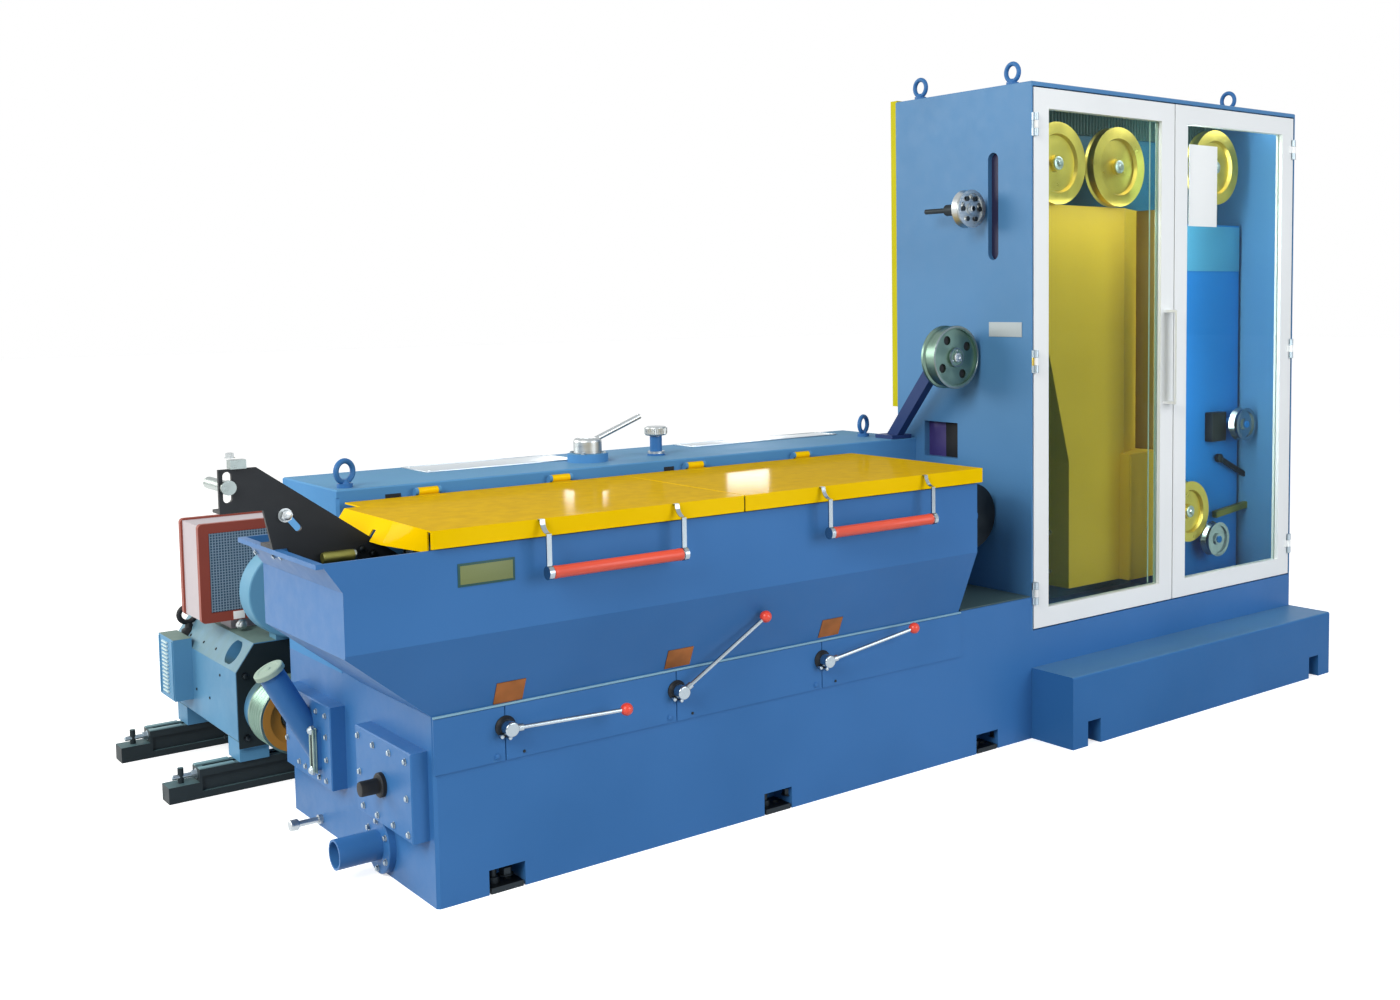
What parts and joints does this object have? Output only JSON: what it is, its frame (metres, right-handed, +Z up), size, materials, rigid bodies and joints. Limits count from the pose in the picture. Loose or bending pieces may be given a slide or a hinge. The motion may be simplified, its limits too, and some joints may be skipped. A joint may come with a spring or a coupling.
{
  "type": "wire drawing machine",
  "caption": "Wire drawing machine with a lidded lubricant trough on a long base, a gearbox behind it, a rear drive motor and a tall glazed take-up cabinet.",
  "frame": {"origin": "on the floor under the middle of the drawing base's footprint", "axes": "+X along the machine from the wire inlet towards the cabinet, +Y away from the operator towards the gearbox, +Z up"},
  "size_m": [4.207, 2.143, 2.361],
  "materials": {
    "machine_blue": "semi-gloss enamel",
    "lid_yellow": "gloss enamel",
    "bracket_black": "satin",
    "door_white": "satin powder coat",
    "door_glass": "clear",
    "bright_chrome": "polished",
    "turned_steel": "turned",
    "dark_steel": "oiled",
    "wheel_brass": "turned",
    "grip_red": "glossy",
    "motor_grey": "satin hammered",
    "filter_red": "satin",
    "filter_white": "satin"
  },
  "bodies": {
    "frame": {"base_frame": "machine_blue", "levelling_feet": "dark_steel", "gearbox_housing": "machine_blue", "gearbox_cover": "machine_blue", "front_cover_plates": "machine_blue", "trough": "machine_blue", "drawing_capstans": "turned_steel", "die_holders": "dark_steel", "sight_glass": "machine_blue", "inspection_hatch": "machine_blue", "drain_pipe": "machine_blue", "drain_tap": "turned_steel", "filler_neck": "machine_blue", "inlet_bracket": "bracket_black", "inlet_rollers": "turned_steel", "lifting_eyes": "machine_blue", "shift_seat": "machine_blue", "breather": "bright_chrome", "sheave_arm": "machine_blue", "guide_wheel_axle": "dark_steel", "exit_capstan_axle": "machine_blue", "cabinet_plinth": "machine_blue", "step_box": "machine_blue", "cabinet_left_wall": "machine_blue", "cabinet_right_wall": "machine_blue", "cabinet_roof": "machine_blue", "cabinet_back": "machine_blue", "rear_doors": "lid_yellow", "mounting_panel": "machine_blue", "winding_cover": "lid_yellow", "machine_housing": "machine_blue", "door_hinge_pins": "turned_steel", "slide_rails": "motor_grey", "motor_body": "motor_grey", "blower_housing": "motor_grey", "filter_box": "filter_white", "filter_frames": "filter_red"},
    "lid_left": {"lid_left": "lid_yellow", "lid_left_handle": "bright_chrome"},
    "lid_right": {"lid_right": "lid_yellow", "lid_right_handle": "bright_chrome"},
    "valve_lever_1": {"valve_lever_1": "bright_chrome"},
    "valve_lever_2": {"valve_lever_2": "bright_chrome"},
    "valve_lever_3": {"valve_lever_3": "bright_chrome"},
    "shift_lever": {"shift_lever": "bright_chrome"},
    "door_left": {"door_left_frame": "door_white", "door_left_glass": "door_glass"},
    "door_right": {"door_right_frame": "door_white", "door_right_glass": "door_glass"},
    "deflector_sheave": {"deflector_sheave": "turned_steel"},
    "guide_wheel": {"guide_wheel": "turned_steel"},
    "exit_capstan": {"exit_capstan": "dark_steel"},
    "brass_wheel_1": {"brass_wheel_1": "wheel_brass"},
    "brass_wheel_2": {"brass_wheel_2": "wheel_brass"},
    "brass_wheel_3": {"brass_wheel_3": "wheel_brass"},
    "brass_wheel_4": {"brass_wheel_4": "wheel_brass"},
    "chrome_wheel_1": {"chrome_wheel_1": "bright_chrome"},
    "chrome_wheel_2": {"chrome_wheel_2": "bright_chrome"},
    "motor_pulley": {"motor_pulley": "turned_steel"}
  },
  "joints": [
    {"name": "lid_left_hinge", "type": "hinge", "parent": "frame", "child": "lid_left", "pos_m": [-0.6335, 0.064, 1], "axis": [-1, 0, 0], "range_deg": [0, 100]},
    {"name": "lid_right_hinge", "type": "hinge", "parent": "frame", "child": "lid_right", "pos_m": [0.3165, 0.064, 1], "axis": [-1, 0, 0], "range_deg": [0, 100]},
    {"name": "valve_lever_1_turn", "type": "hinge", "parent": "frame", "child": "valve_lever_1", "pos_m": [-0.90555, -0.51, 0.44], "axis": [0, 1, 0], "range_deg": [0, 90]},
    {"name": "valve_lever_2_turn", "type": "hinge", "parent": "frame", "child": "valve_lever_2", "pos_m": [-0.37367, -0.51, 0.44], "axis": [0, 1, 0], "range_deg": [0, 90]},
    {"name": "valve_lever_3_turn", "type": "hinge", "parent": "frame", "child": "valve_lever_3", "pos_m": [0.1582, -0.51, 0.44], "axis": [0, 1, 0], "range_deg": [0, 90]},
    {"name": "gear_shift", "type": "hinge", "parent": "frame", "child": "shift_lever", "pos_m": [-0.20856, 0.24, 1.05], "axis": [0, 0, 1], "range_deg": [0, 60]},
    {"name": "door_left_hinge", "type": "hinge", "parent": "frame", "child": "door_left", "pos_m": [1.1205, -0.516, 1.32], "axis": [0, 0, -1], "range_deg": [0, 105]},
    {"name": "door_right_hinge", "type": "hinge", "parent": "frame", "child": "door_right", "pos_m": [2.6525, -0.516, 1.32], "axis": [0, 0, 1], "range_deg": [0, 105]},
    {"name": "deflector_sheave_spin", "type": "hinge", "parent": "frame", "child": "deflector_sheave", "pos_m": [0.9825, -0.233, 1.335], "axis": [0, 1, 0], "continuous": true},
    {"name": "guide_wheel_spin", "type": "hinge", "parent": "frame", "child": "guide_wheel", "pos_m": [1.0215, -0.287, 1.853], "axis": [0, 1, 0], "continuous": true},
    {"name": "exit_capstan_spin", "type": "hinge", "parent": "frame", "child": "exit_capstan", "pos_m": [0.9785, -0.282, 0.78], "axis": [0, 1, 0], "continuous": true},
    {"name": "brass_wheel_1_spin", "type": "hinge", "parent": "frame", "child": "brass_wheel_1", "pos_m": [1.40652, -0.338, 2.026], "axis": [0, 1, 0], "continuous": true},
    {"name": "brass_wheel_2_spin", "type": "hinge", "parent": "frame", "child": "brass_wheel_2", "pos_m": [1.7465, -0.338, 2.029], "axis": [0, 1, 0], "continuous": true},
    {"name": "brass_wheel_3_spin", "type": "hinge", "parent": "frame", "child": "brass_wheel_3", "pos_m": [2.34847, -0.338, 2.056], "axis": [0, 1, 0], "continuous": true},
    {"name": "brass_wheel_4_spin", "type": "hinge", "parent": "frame", "child": "brass_wheel_4", "pos_m": [2.19657, -0.338, 0.676], "axis": [0, 1, 0], "continuous": true},
    {"name": "chrome_wheel_1_spin", "type": "hinge", "parent": "frame", "child": "chrome_wheel_1", "pos_m": [2.5285, -0.372, 1.01], "axis": [0, 1, 0], "continuous": true},
    {"name": "chrome_wheel_2_spin", "type": "hinge", "parent": "frame", "child": "chrome_wheel_2", "pos_m": [2.3465, -0.372, 0.55], "axis": [0, 1, 0], "continuous": true},
    {"name": "motor_pulley_spin", "type": "hinge", "parent": "frame", "child": "motor_pulley", "pos_m": [-1.0585, 0.642, 0.259], "axis": [0, 1, 0], "continuous": true}
  ]
}
